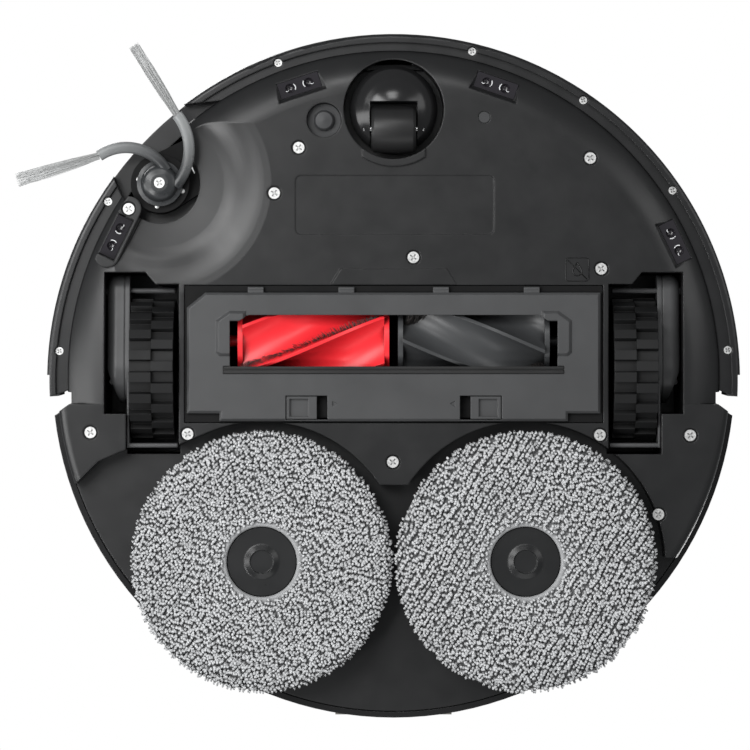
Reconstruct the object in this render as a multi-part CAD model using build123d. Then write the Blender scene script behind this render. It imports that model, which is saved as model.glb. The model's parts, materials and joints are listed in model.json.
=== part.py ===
"""Robot vacuum and mop, modelled as an assembly of its separate pieces, in millimetres.

The robot stands on the floor plane z = 0, with +Z up and its front towards -Y. "Right" and "left" are the
robot's own, so right is -X. It is laid out about the upright axis of its round body, and moved by
FOOTPRINT_SHIFT on export, so that the origin is the centre of the footprint that the side brush widens.
"""

import os
from math import cos, hypot, pi, radians, sin, sqrt

from build123d import *

# ---- driving dimensions -------------------------------------------------------------------------------
FOOTPRINT_SHIFT = 7.0  # the side brush reaches this much further out, halved, than the bumper opposite
WALL = 2.5  # general wall thickness of the mouldings
FAR = 250.0  # half size of a box that reaches past everything

BODY_R = 174.4  # rear housing
BUMPER_R = 176.5  # bumper's outer face, turned about a centre behind the body's own
BUMPER_CENTRE_Y = 2.0
BUMPER_LIP = 4.4  # width of its turned-in lower edge
BUMPER_SCREW_Z = 18.1
PLATE_FRONT_R = 166.0  # front rim of the base
RIM_START_R = 146.0  # where the front rim starts to curve up from the flat underside
PLATE_REAR_R = 171.0
WALL_FRONT_R = 159.8  # base and upper housing step in here, behind the bumper
SPLIT_Y = 14.0  # where the front rim changes to the rear one, inside the side notches
NOTCH_X = 164.0  # depth of the side notches between bumper and rear housing

UNDER_Z = 10.0  # ground clearance of the base
RIM_Z = 17.8
BASE_TOP_Z = 30.0
REAR_SKIRT_Z = 26.0  # the rear housing's lower edge, and the ceiling over the mops
DECK_Z = 80.0
DECK_T = 2.5
COVER_Z = 82.8
COVER_T = 2.4
TOWER_TOP_Z = 104.0

WHEEL_X = 122.9
WHEEL_Y = -3.9
WHEEL_R = 36.5
TYRE_W = 22.2
TYRE_CORE_R = 33.4
RIM_R = 30.0
LUGS = 20
LUG_PHASE = 2.3  # degrees
WELL_INNER_X = 109.0
WELL_REAR_Y = 39.5
ARM_PIVOT_Y = -44.0
ARM_PIVOT_Z = 31.0

CASTER_Y = -135.8
CASTER_TRAIL = 10.0
CASTER_R = 12.3
CASTER_W = 22.6
CASTER_RECESS_R = 25.5

ROLLER_Y = -18.2
ROLLER_Z = 24.5
ROLLER_R = 20.5
ROLLER_VALLEY_R = 12.8
ROLLER_L = 77.0
ROLLER_GAP = 4.4  # between the two rollers, where hair is drawn off
ROLLER_FINS = 5
ROLLER_TWIST = 88.0

COVER_HINGE_Y = -44.6
COVER_HINGE_Z = 9.1
COVER_BEAD_R = 0.95

BRUSH_X = -118.7  # side brush hub
BRUSH_Y = -98.1
BRUSH_PIVOT_X = -66.0
BRUSH_PIVOT_Y = -128.0
BRUSH_SWING = 18.0  # degrees that the side brush's arm swings out

# each bristle arm of the side brush from the hub's centre:
# root, middle and end of the moulded arm, then the bristles' end
BRISTLE_ARMS = [
    [(8.0, 1.5, 7.6), (15.0, -15.0, 6.0), (9.0, -34.5, 4.3), (-13.0, -69.6, 2.0)],
    [(3.5, -6.5, 7.6), (-9.0, -16.6, 6.0), (-30.5, -13.6, 4.3), (-72.1, -1.0, 2.0)],
]

MOP_X = 66.8
MOP_Y = 93.8
PAD_R = 66.2
PAD_HOLE_R = 17.4
PAD_T = 9.0
PLATE_TOP_Z = 14.0
MOP_ROOM_R = 71.0
MOP_PIVOT_X = -88.8  # the right mop swings out about this point
MOP_PIVOT_Y = 60.6
MOP_SWING = 21.0

LIDAR_Y = 68.0
FAN_X = 112.0
FAN_Y = 78.0

BASE_SCREWS = [
    (-48.2, -116.2), (-60.6, -93.1), (99.8, -110.9), (105.4, -54.7), (10.0, -60.5), (-154.0, 28.4),
    (-104.6, 29.2), (104.7, 29.7), (150.6, 29.9), (-0.4, 43.4), (134.4, 70.0), (-134.5, -85.1),
]  # fmt: skip
BUMPER_SCREWS = [
    (-170.2, -13.0), (-145.4, -89.1), (-58.8, -159.8), (40.0, -165.6),
    (96.6, -140.7), (142.1, -94.8), (170.2, -13.5),
]  # fmt: skip
CLIFF_SENSORS = [(-47.9, -148.0, -18.0), (52.0, -148.0, 19.0), (143.0, -68.4, 64.5), (-141.1, -71.0, -64.0)]

SIDES = {"right": -1, "left": 1}


# ---- small helpers ------------------------------------------------------------------------------------
def box(x0, x1, y0, y1, z0, z1):
    """A box between two corners, given in any order along each axis."""
    size = (abs(x1 - x0), abs(y1 - y0), abs(z1 - z0))
    return Pos((x0 + x1) / 2, (y0 + y1) / 2, (z0 + z1) / 2) * Box(*size)


def cyl(r, z0, z1, x=0.0, y=0.0):
    return Pos(x, y, (z0 + z1) / 2) * Cylinder(r, z1 - z0)


def tube(outer, inner, z0, z1, x=0.0, y=0.0):
    return cyl(outer, z0, z1, x, y) - cyl(inner, z0 - 1, z1 + 1, x, y)


def across(r, x0, x1, y, z):
    """A cylinder along X between x0 and x1."""
    return Pos((x0 + x1) / 2, y, z) * Rot(0, 90, 0) * Cylinder(r, abs(x1 - x0))


def slab(sketch, z0, z1):
    return extrude(Pos(0, 0, z0) * sketch, z1 - z0, dir=(0, 0, 1))


def anticlockwise(points):
    """The same closed outline, listed anticlockwise, so that its face always points the same way."""
    pairs = zip(points, points[1:] + points[:1])
    doubled_area = sum(a[0] * b[1] - b[0] * a[1] for a, b in pairs)
    return points if doubled_area > 0 else points[::-1]


def polygon(points):
    """A flat face with the given corners."""
    return make_face(Polyline(*anticlockwise(points), close=True))


def turned(points, rounds=(), x=0.0, y=0.0):
    """A solid of revolution about an upright axis; rounds holds (corner, radius) pairs of the outline."""
    face = polygon(points)
    for corner, radius in rounds:
        nearest = min(face.vertices(), key=lambda v: hypot(v.X - corner[0], v.Y - corner[1]))
        face = fillet(nearest, radius)
    return Pos(x, y, 0) * revolve(Plane.XZ * face, axis=Axis.Z)


def stadium(ends, r):
    """A flat outline of width 2r round the line between two points."""
    (x0, y0), (x1, y1) = ends
    return make_hull((Pos(x0, y0) * Circle(r) + Pos(x1, y1) * Circle(r)).edges())


def swung(point, pivot, degrees):
    """Where a point goes when it turns about an upright pivot."""
    a = radians(degrees)
    dx, dy = point[0] - pivot[0], point[1] - pivot[1]
    return (pivot[0] + dx * cos(a) - dy * sin(a), pivot[1] + dx * sin(a) + dy * cos(a))


def screw(x, y, z, head_r, head_t, shank_r, length):
    """A cross-headed screw with its head down, its face at height z."""
    body = cyl(head_r, z, z + head_t, x, y) + cyl(shank_r, z + head_t, z + length, x, y)
    slot = head_r * 1.25
    cross = box(-slot / 2, slot / 2, -0.35, 0.35, -1, 0.6) + box(-0.35, 0.35, -slot / 2, slot / 2, -1, 0.6)
    return body - Pos(x, y, z) * Rot(0, 0, 35) * cross


def side_notches():
    """The two wedges cut out of the silhouette between the bumper and the rear housing."""
    outline = [(NOTCH_X, 8.0), (FAR, 2.0), (FAR, 58.0), (172.5, 19.5), (NOTCH_X, 13.5)]
    wedge = slab(polygon(outline), -5, 120)
    return wedge + mirror(wedge, Plane.YZ)


MOP_CENTRES = {"right": (-MOP_X, MOP_Y), "left": (MOP_X, MOP_Y)}
MOP_OUT = swung(MOP_CENTRES["right"], (MOP_PIVOT_X, MOP_PIVOT_Y), MOP_SWING)


# ---- housings -----------------------------------------------------------------------------------------
def mop_room(grow=0.0):
    """Plan outline of the recess that the two mops turn in, open to the rear."""
    r = MOP_ROOM_R + grow
    left = Pos(*MOP_CENTRES["left"]) * Circle(r)
    right = stadium((MOP_CENTRES["right"], MOP_OUT), r)
    tongue = Pos(0, 130 - grow / 2) * Rectangle(70, 150 + grow)
    rear = polygon([(FAR, FAR), (-FAR, FAR), (-FAR, 92 - grow), (FAR, 92 - grow)])
    side = polygon([(-60, 92), (-109, 37.5 - grow), (-135.5 - grow, 36.8 - grow), (-150 - grow, 43 - grow),
                    (-163 - grow, 56 - grow), (-FAR, 80), (-FAR, 92)])  # fmt: skip
    return left + right + tongue + rear + side


def wheel_room(sign, grow=0.0):
    """Plan outline of a wheel well."""
    outline = [(147, -53), (126, -53), (121, -47), (WELL_INNER_X, -47),
               (WELL_INNER_X, WELL_REAR_Y), (136, WELL_REAR_Y),
               (136, 19), (147, 19)]  # fmt: skip
    face = polygon([(sign * x, y) for x, y in outline])
    return offset(face, grow, kind=Kind.INTERSECTION) if grow else face


def brush_arm_sweep(r_hub, r_pivot):
    """Plan outline that the side brush's arm sweeps from parked to swung out."""
    pivot = (BRUSH_PIVOT_X, BRUSH_PIVOT_Y)
    area = None
    for step in range(5):
        hub = swung((BRUSH_X, BRUSH_Y), pivot, BRUSH_SWING * step / 4)
        one = make_hull((Pos(*hub) * Circle(r_hub) + Pos(*pivot) * Circle(r_pivot)).edges())
        area = one if area is None else area + one
    return area


def brush_hub_sweep(r):
    """Plan outline of the part of that sweep that is open to the floor."""
    pivot = (BRUSH_PIVOT_X, BRUSH_PIVOT_Y)
    hubs = [swung((BRUSH_X, BRUSH_Y), pivot, BRUSH_SWING * step / 4) for step in range(5)]
    area = Pos(*hubs[0]) * Circle(r)
    for hub in hubs[1:]:
        area += Pos(*hub) * Circle(r)
    return area


def front_pan(lift, wall_r, top):
    """The front's solid of revolution, with its rim curving up; lift raises its underside."""
    run, rise = PLATE_FRONT_R - RIM_START_R, RIM_Z - UNDER_Z
    radius = (run**2 + rise**2) / (2 * rise)
    middle = (RIM_START_R + run / 2, UNDER_Z + lift + radius - sqrt(radius**2 - run**2 / 4))
    start, end = (RIM_START_R, UNDER_Z + lift), (PLATE_FRONT_R, RIM_Z + lift)
    outline = Polyline((0, top), (0, UNDER_Z + lift), start) + ThreePointArc(start, middle, end)
    outline += Polyline(end, (wall_r, RIM_Z + lift), (wall_r, top), (0, top))
    return revolve(Plane.XZ * make_face(outline), axis=Axis.Z)


def base_shell():
    """The lower housing: a pan with wells for the wheels, caster, side brush, main brush and mops."""
    front = front_pan(0, WALL_FRONT_R, BASE_TOP_Z)
    rear = turned(
        [(0, UNDER_Z), (PLATE_REAR_R, UNDER_Z), (PLATE_REAR_R, BASE_TOP_Z), (0, BASE_TOP_Z)],
        [((PLATE_REAR_R, UNDER_Z), 4.0)],
    )
    front_half = box(-FAR, FAR, -FAR, SPLIT_Y, 0, 120)
    rear_half = box(-FAR, FAR, SPLIT_Y, FAR, 0, 120)
    body = (front & front_half) + (rear & rear_half)
    inner_r = WALL_FRONT_R - WALL
    hollow_front = front_pan(WALL, inner_r, BASE_TOP_Z + 1) & cyl(inner_r, 0, 60) & front_half
    hollow_rear = cyl(PLATE_REAR_R - WALL, UNDER_Z + WALL, BASE_TOP_Z + 1) & rear_half
    shell = body - (hollow_front + hollow_rear)

    # the side brush's dished surround
    dish = [(0, 15.4), (20, 15.4), (36, 14.3), (48, 10.5), (60, 9.8), (60, 0), (0, 0)]
    dish_rounds = [((20, 15.4), 50.0), ((36, 14.3), 30.0), ((48, 10.5), 40.0)]
    dish_over = Pos(0, 0, WALL) * turned(dish, dish_rounds, BRUSH_X, BRUSH_Y)
    inside_front = front_pan(1.0, WALL_FRONT_R - 1, 120) & cyl(WALL_FRONT_R - 1, 0, 120)
    shell += dish_over & inside_front

    # walls round each well, kept inside the body's own outline
    inside = (inside_front & front_half) + (cyl(PLATE_REAR_R - 1, UNDER_Z + 1, 120) & rear_half)
    shell += slab(mop_room(WALL), UNDER_Z + 1, REAR_SKIRT_Z + WALL) & inside
    wells = cyl(CASTER_RECESS_R + WALL, UNDER_Z + 1, 33.5, 0, CASTER_Y)
    wells &= cyl(WALL_FRONT_R - WALL - 0.4, 0, 100)
    wells += cyl(9.5, 30, 47, 0, CASTER_Y)
    wells += slab(brush_arm_sweep(21.0, 15.5), UNDER_Z + 1, 29.5) & cyl(WALL_FRONT_R - 1, 0, 40)
    for sign in SIDES.values():
        wells += slab(wheel_room(sign, 2.0), UNDER_Z + 1, 78.6) & cyl(WALL_FRONT_R - WALL - 0.4, 0, 100)
    shell += wells & inside

    shell -= turned(dish, dish_rounds, BRUSH_X, BRUSH_Y)
    shell -= slab(mop_room(), 0, REAR_SKIRT_Z)
    shell -= cyl(CASTER_RECESS_R, 0, 31.0, 0, CASTER_Y) + cyl(5.1, 30, 48, 0, CASTER_Y)
    shell -= slab(brush_arm_sweep(18.5, 13.0), 18.2, 27.0)
    shell -= slab(brush_hub_sweep(20.2), 0, 27.0)
    shell -= cyl(3.4, 20, 32, BRUSH_PIVOT_X, BRUSH_PIVOT_Y)
    for sign in SIDES.values():
        shell -= slab(wheel_room(sign), 0, 76.6)
    shell -= box(-106.3, 106.3, -46.4, 23.6, 0, 16)
    shell -= cyl(7.0, 20, 30, *MOP_CENTRES["left"])
    shell -= slab(stadium((MOP_CENTRES["right"], MOP_OUT), 8.0), 20, 30)
    shell -= side_notches()

    # moulded pivots of the wheel arms and of the mop carriage
    for sign in SIDES.values():
        shell += across(3.0, sign * 135.5, sign * 147.5, ARM_PIVOT_Y, ARM_PIVOT_Z)
    shell += cyl(3.0, 28.0, 66.0, MOP_PIVOT_X, MOP_PIVOT_Y)

    # pockets, recesses and screw seats
    shell += cyl(10.8, UNDER_Z + 1, 18.0, -35.4, -130.2)
    shell -= cyl(8.8, 0, 30.0, -35.4, -130.2) + cyl(3.0, 0, 30, 46.0, -131.6)
    for x, y, turn in CLIFF_SENSORS:
        place = Pos(x, y, 0) * Rot(0, 0, turn)
        shell += place * box(-14.0, 14.0, -7.0, 7.0, UNDER_Z + 1.5, 16.5) & inside
        shell -= place * box(-11.0, 11.0, -4.2, 4.2, 0, 30)
        shell -= place * extrude(Pos(0, 0, UNDER_Z - 0.01) * Rectangle(26.0, 12.4), 3.0, taper=30)
    bar = slab(stadium([(-134.5, -85.1), (-145.6, -61.8)], 6.4), UNDER_Z - 0.4, 15.0)
    bar -= Pos(-141.1, -71.0, 0) * Rot(0, 0, -64) * box(-11.6, 11.6, -20, 4.8, 0, 30)
    bar -= slab(brush_hub_sweep(17.0), UNDER_Z + 1.5, 30)
    shell += bar & cyl(PLATE_FRONT_R - 3.0, 0, 40)
    for x, y in BASE_SCREWS:
        shell -= cyl(3.7, 0, UNDER_Z + 1.3, x, y) + cyl(1.7, 0, 21, x, y)
    shell -= Pos(0.5, -87.1, UNDER_Z) * extrude(RectangleRounded(101, 30, 3), 0.35)
    shell += slab(polygon([(-32, -46.6), (-27, -54.6), (27, -54.6), (32, -46.6)]), UNDER_Z - 0.4, UNDER_Z + 1)
    lip = tube(CASTER_RECESS_R + 3.6, CASTER_RECESS_R, 8.4, UNDER_Z + 1, 0, CASTER_Y)
    shell += lip & box(-16, 16, CASTER_Y + 18, 0, 0, 20)
    return shell


def top_shell():
    """The upper housing: the deck, the rear half's outer wall and the wall behind the bumper."""
    deck = cyl(BODY_R, DECK_Z, DECK_Z + DECK_T)
    rear = tube(BODY_R, PLATE_REAR_R + 0.4, REAR_SKIRT_Z, DECK_Z) & box(-FAR, FAR, SPLIT_Y, FAR, 0, 120)
    front = tube(WALL_FRONT_R, WALL_FRONT_R - WALL, BASE_TOP_Z + 0.3, DECK_Z)
    front &= box(-FAR, FAR, -FAR, SPLIT_Y + 4, 0, 120)
    ends = box(WALL_FRONT_R - 2, NOTCH_X, 14.0, 16.5, BASE_TOP_Z + 0.3, DECK_Z)
    ends += box(NOTCH_X - 2.5, NOTCH_X, 14.0, 24.0, BASE_TOP_Z + 0.3, DECK_Z)
    ends += box(NOTCH_X - 2.5, 172.6, 21.5, 24.0, BASE_TOP_Z + 0.3, DECK_Z)
    shell = deck + rear + front + ends + mirror(ends, Plane.YZ)
    shell -= side_notches()
    shell -= box(-76.0, 76.0, -46.0, 19.0, DECK_Z - 1, 100)  # dust bin
    shell -= cyl(45.0, DECK_Z - 1, 100, 0, LIDAR_Y)
    for x in (-11.0, 11.0):
        shell -= cyl(6.6, DECK_Z - 1, 100, x, -122)
    for x in (-24.0, 24.0):
        shell -= box(x - 6.2, x + 6.2, 171.0, 180, 32, 50)
    shell -= Pos(0, 172, 58) * Rot(90, 0, 0) * Cylinder(5.5, 20)
    shell -= Rot(0, 0, 35) * box(160, 180, -24.5, 24.5, 44, 66)
    return shell


def top_cover():
    """The lift-off lid over the deck, held by magnets."""
    lid = turned(
        [(0, COVER_Z), (BODY_R - 0.9, COVER_Z), (BODY_R - 0.9, COVER_Z + COVER_T), (0, COVER_Z + COVER_T)],
        [((BODY_R - 0.9, COVER_Z + COVER_T), 1.8)],
    )
    lid -= side_notches()
    lid -= cyl(48.6, 0, 120, 0, LIDAR_Y)
    for x in (-11.0, 11.0):
        lid -= cyl(7.0, 0, 120, x, -122)
    return lid


def exhaust_grille():
    """Slotted insert in the left rear wall, where the fan blows out."""
    grille = tube(BODY_R - 0.3, PLATE_REAR_R + 0.8, 44.2, 65.8) & box(160, 180, -24.2, 24.2, 40, 70)
    for i in range(-6, 7):
        grille -= box(150, 190, i * 3.6 - 1.0, i * 3.6 + 1.0, 47, 63)
    return Rot(0, 0, 35) * grille


# ---- bumper -------------------------------------------------------------------------------------------
def bumper_gap():
    """The part of the bumper's lower edge that is cut away over the side brush's arm."""
    return slab(brush_arm_sweep(20.5, 15.0), 0, 28.2)


def bumper_ends():
    """Everything ahead of the bumper's two raked end faces."""
    outline = [(FAR, -FAR), (FAR, 11.5), (176.0, 10.5), (168.0, 8.0), (158.0, 3.0), (-158.0, 3.0),
               (-168.0, 8.0), (-176.0, 10.5), (-FAR, 11.5), (-FAR, -FAR)]  # fmt: skip
    return slab(polygon(outline), 0, 120)


def bumper_shell():
    outer = BUMPER_R
    inner = BUMPER_R - WALL
    lip = outer - BUMPER_LIP
    skin = turned(
        [(lip, 16), (outer, 16), (outer, 79.4), (inner - 2, 79.4), (inner - 2, 76.9),
         (inner, 76.9), (inner, 18.2),
         (lip, 18.2)],
        [((outer, 16), 2.1), ((outer, 79.4), 2.4)],
        0, BUMPER_CENTRE_Y,
    )  # fmt: skip
    for x, y in BUMPER_SCREWS:
        boss = cyl(3.2, 20.6, 30.0, x, y) - cyl(1.3, 0, 40, x, y)
        skin += boss & (cyl(inner + 0.5, 20, 31, 0, BUMPER_CENTRE_Y))
        skin -= cyl(2.4, 15, 19.4, x, y)
    skin -= bumper_gap()
    web = cyl(inner + 0.5, 28.2, 30.2, 0, BUMPER_CENTRE_Y) - cyl(164.0, 28, 31)
    skin += slab(brush_arm_sweep(22.5, 17.0), 28.2, 30.2) & web
    skin = skin & bumper_ends()
    skin -= tube(FAR, outer - 1.3, 0, 120, 0, BUMPER_CENTRE_Y) & box(-FAR, FAR, -0.8, FAR, 0, 120)
    window = tube(BUMPER_R + 1, BUMPER_R - 1.3, 36, 70, 0, BUMPER_CENTRE_Y)
    return skin - (window & box(-72.3, 72.3, -FAR, 0, 0, 120))


def sensor_window():
    """Dark window across the bumper's front, over the cameras and the line lasers."""
    window = tube(BUMPER_R - 0.1, BUMPER_R - 1.2, 36.2, 69.8, 0, BUMPER_CENTRE_Y)
    return window & box(-72, 72, -FAR, 0, 0, 120)


def bumper_ring():
    """The screwed-on flange along the bumper's lower edge."""
    ring = cyl(BUMPER_R - WALL - 0.3, 18.5, 20.5, 0, BUMPER_CENTRE_Y) - cyl(164.0, 0, 40)
    ring = ring & bumper_ends()
    ring -= bumper_gap()
    for x, y in BUMPER_SCREWS:
        ring -= cyl(1.3, 0, 40, x, y) + cyl(2.1, 0, BUMPER_SCREW_Z + 1.1, x, y)
    return ring


def bumper_screws():
    return Compound([screw(x, y, BUMPER_SCREW_Z, 2.0, 1.1, 1.2, 6.0).solids()[0] for x, y in BUMPER_SCREWS])


def bumper_springs():
    """The two leaf springs that push the bumper forward, fixed to the upper housing."""
    bow = [(-9, -160.0), (0, -168.8), (9, -160.0), (8.2, -160.0), (0, -168.0), (-8.2, -160.0)]
    leaf = slab(polygon(bow), 44, 56)
    return Compound([(Rot(0, 0, sign * 35) * leaf).solids()[0] for sign in SIDES.values()])


# ---- drive wheels -------------------------------------------------------------------------------------
def tyre_row(x0, x1, turn):
    """One row of lugs, as a toothed disc along X."""
    pitch = 2 * pi / LUGS
    points = []
    for i in range(LUGS):
        a = i * pitch + radians(turn)
        for radius, step in ((TYRE_CORE_R, 0.0), (WHEEL_R, 0.03), (WHEEL_R, 0.47), (TYRE_CORE_R, 0.5)):
            points.append((radius * cos(a + step * pitch), radius * sin(a + step * pitch)))
    face = make_face(Polyline(*points, close=True))
    return Pos(x0, WHEEL_Y, WHEEL_R) * extrude(Plane.YZ * face, x1 - x0, dir=(1, 0, 0))


def tyre(sign):
    x0 = sign * WHEEL_X - TYRE_W / 2
    x1 = sign * WHEEL_X + TYRE_W / 2
    middle = (x0 + x1) / 2
    rubber = tyre_row(x0, middle, LUG_PHASE) + tyre_row(middle, x1, LUG_PHASE + 180.0 / LUGS)
    return rubber - across(RIM_R, x0 - 1, x1 + 1, WHEEL_Y, WHEEL_R)


def wheel_rim(sign):
    """Cup-shaped wheel, open outwards for the motor, with a hub for the axle."""
    inner_x = sign * (WHEEL_X - TYRE_W / 2 + 0.4)
    outer_x = sign * (WHEEL_X + TYRE_W / 2 - 0.4)
    rim = across(RIM_R - 0.02, inner_x, outer_x, WHEEL_Y, WHEEL_R)
    rim -= across(RIM_R - 3.0, inner_x + sign * 3.0, outer_x + sign, WHEEL_Y, WHEEL_R)
    rim += across(7.0, inner_x, inner_x + sign * 4.5, WHEEL_Y, WHEEL_R)
    for i in range(5):
        a = i * 2 * pi / 5
        y, z = WHEEL_Y + 17 * cos(a), WHEEL_R + 17 * sin(a)
        rim -= across(5.5, inner_x - sign, inner_x + sign * 3.5, y, z)
    return rim - across(2.5, inner_x - sign, outer_x, WHEEL_Y, WHEEL_R)


def wheel_motor(sign):
    """Flat motor that nests in the wheel's cup, with its spindle through the wheel and into the gearbox."""
    can = across(21.0, sign * 118.5, sign * 134.2, WHEEL_Y, WHEEL_R)
    can += across(8.0, sign * 117.2, sign * 118.5, WHEEL_Y, WHEEL_R)
    return can + across(2.4, sign * (WHEEL_X - TYRE_W / 2 + 0.6), sign * 140.0, WHEEL_Y, WHEEL_R)


def wheel_guard(sign):
    """Frame round the tyre, moulded with its gearbox: a strip ahead, a rail outside and a strip behind."""
    front = box(sign * 111.9, sign * 136.5, -45.2, -42.6, 27.0, 36.0)
    rail = box(sign * 134.6, sign * 135.7, 2.0, 36.2, 16.0, 38.0)
    rear = box(sign * 110.0, sign * 135.7, 33.9, 36.2, 16.0, 38.0)
    front = fillet(front.faces().sort_by(Axis.Z)[0].edges().filter_by(Axis.X), 1.2)
    rear = fillet(rear.faces().sort_by(Axis.Z)[0].edges().filter_by(Axis.X), 1.0)
    rail -= across(16.0, sign * 130, sign * 140, WHEEL_Y, WHEEL_R)
    return front + rail + rear


def wheel_gearbox(sign):
    """The swinging arm: a flat gearbox from pivot to spindle, tapered at its rear, with the tyre's guard."""
    ends = Pos(ARM_PIVOT_Y, ARM_PIVOT_Z) * Circle(8.0) + Pos(WHEEL_Y, WHEEL_R) * Circle(17.5)
    outline = make_hull(ends.edges())
    x0, x1 = sorted((sign * 134.6, sign * 146.2))
    arm = Pos(x0, 0, 0) * extrude(Plane.YZ * outline, x1 - x0, dir=(1, 0, 0))
    outer = arm.faces().sort_by(Axis.X)[-1 if sign > 0 else 0]
    arm = fillet(outer.edges(), 5.0)
    taper = [(147.0, -6.0), (139.3, 14.6), (150.0, 14.6), (150.0, -6.0)]
    arm -= slab(polygon([(sign * x, y) for x, y in taper]), 0, 100)
    arm += cyl(1.7, 24.0, 46.0, sign * 143.4, 2.6)
    seam = extrude(Plane.YZ * (outline - offset(outline, -0.5)), 0.35, dir=(1, 0, 0))
    arm -= Pos(sign * 137.2 - 0.17, 0, 0) * seam
    arm += wheel_guard(sign)
    bore = across(2.42, sign * 134, sign * 141, WHEEL_Y, WHEEL_R)
    pivot = across(3.1, sign * 135.3, sign * 150, ARM_PIVOT_Y, ARM_PIVOT_Z)
    return arm - bore - pivot


# ---- caster -------------------------------------------------------------------------------------------
def caster_fork():
    """Domed swivel with a window for the wheel and a stem up into its bush."""
    dome = turned(
        [(0, 4.8), (4.0, 4.9), (10.0, 6.3), (16.0, 9.2), (20.4, 12.6),
         (22.3, 16.0), (22.3, 27.0), (16.0, 30.0), (0, 30.0)],
        [((4.0, 4.9), 20.0), ((10.0, 6.3), 20.0), ((16.0, 9.2), 12.0), ((20.4, 12.6), 6.0)],
        0, CASTER_Y,
    )  # fmt: skip
    fork = dome + cyl(5.0, 29, 46.5, 0, CASTER_Y)
    room_y = CASTER_Y + CASTER_TRAIL
    fork -= box(-12.1, 12.1, room_y - CASTER_R - 1.4, room_y + 20, 0, 26.4)
    fork -= across(1.55, -15.6, 15.6, room_y, CASTER_R)
    return fork


def caster_axle():
    return across(1.5, -15.4, 15.4, CASTER_Y + CASTER_TRAIL, CASTER_R)


def caster_wheel():
    """Barrel-shaped roller of the front caster."""
    half = CASTER_W / 2
    outline = make_face(
        Polyline((-half, 1.6), (-half, CASTER_R - 1.9), (-half + 1.4, CASTER_R - 0.7))
        + ThreePointArc((-half + 1.4, CASTER_R - 0.7), (0, CASTER_R), (half - 1.4, CASTER_R - 0.7))
        + Polyline((half - 1.4, CASTER_R - 0.7), (half, CASTER_R - 1.9), (half, 1.6), (-half, 1.6))
    )
    return Pos(0, CASTER_Y + CASTER_TRAIL, CASTER_R) * revolve(outline, axis=Axis.X)


# ---- side brush ---------------------------------------------------------------------------------------
def brush_arm_outline(r_hub, r_pivot):
    ends = Pos(BRUSH_X, BRUSH_Y) * Circle(r_hub) + Pos(BRUSH_PIVOT_X, BRUSH_PIVOT_Y) * Circle(r_pivot)
    return make_hull(ends.edges())


def side_brush_arm():
    """The swing arm, with a collar round the brush's spindle and its gears' well on top."""
    arm = slab(brush_arm_outline(15.0, 11.0), 18.8, 25.8)
    arm -= slab(brush_arm_outline(7.8, 7.8), 20.4, 26)
    arm += tube(14.9, 9.0, 12.6, 19.0, BRUSH_X, BRUSH_Y)
    return arm - cyl(4.2, 10, 26, BRUSH_X, BRUSH_Y) - cyl(3.1, 10, 26, BRUSH_PIVOT_X, BRUSH_PIVOT_Y)


def side_brush_motor():
    """Motor of the side brush, standing over the arm's pivot, with its shaft down through the arm."""
    pivot = (BRUSH_PIVOT_X, BRUSH_PIVOT_Y)
    can = cyl(8.5, 30.0, 54.0, *pivot) + cyl(6.0, 54.0, 57.0, *pivot)
    shaft = cyl(3.0, 19.0, 30.0, *pivot) + cyl(5.5, 21.0, 24.0, *pivot)
    return can + shaft


def side_brush_hub():
    """Domed hub with two curved arms and the spindle up into the arm."""
    hub = turned(
        [(0, 4.6), (4.6, 4.6), (8.2, 5.6), (9.6, 8.6), (11.6, 9.4), (11.6, 12.2), (0, 12.2)],
        [((4.6, 4.6), 3.0), ((8.2, 5.6), 3.0)],
        BRUSH_X, BRUSH_Y,
    )  # fmt: skip
    for root, middle, end, _ in BRISTLE_ARMS:
        path = ThreePointArc(root, middle, end)
        start = Plane(origin=path @ 0, x_dir=Vector(0, 0, 1).cross(path % 0), z_dir=path % 0)
        hub += Pos(BRUSH_X, BRUSH_Y, 0) * sweep(start * Ellipse(2.9, 1.9), path=path)
    hub += cyl(4.0, 12.2, 20.8, BRUSH_X, BRUSH_Y) + cyl(6.5, 20.7, 23.9, BRUSH_X, BRUSH_Y)
    return hub - cyl(2.9, 0, 5.6, BRUSH_X, BRUSH_Y) - cyl(1.6, 0, 13.0, BRUSH_X, BRUSH_Y)


def side_brush_tufts():
    """The two bristle bundles, as plain tapered blocks."""
    tufts = []
    for _, _, root, tip in BRISTLE_ARMS:
        end = Vector(*tip)
        along = (end - Vector(*root)).normalized()
        start = Vector(*root) + along * 3.2
        sideways = Vector(0, 0, 1).cross(along)
        near = Plane(origin=start, x_dir=sideways, z_dir=along) * Rectangle(4.6, 3.0)
        far = Plane(origin=end, x_dir=sideways, z_dir=along) * Rectangle(6.6, 2.2)
        tufts.append(Pos(BRUSH_X, BRUSH_Y, 0) * loft([near, far]))
    return Compound([t.solids()[0] for t in tufts])


def side_brush_screw():
    return screw(BRUSH_X, BRUSH_Y, 4.4, 2.7, 1.1, 1.55, 8.0)


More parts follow.
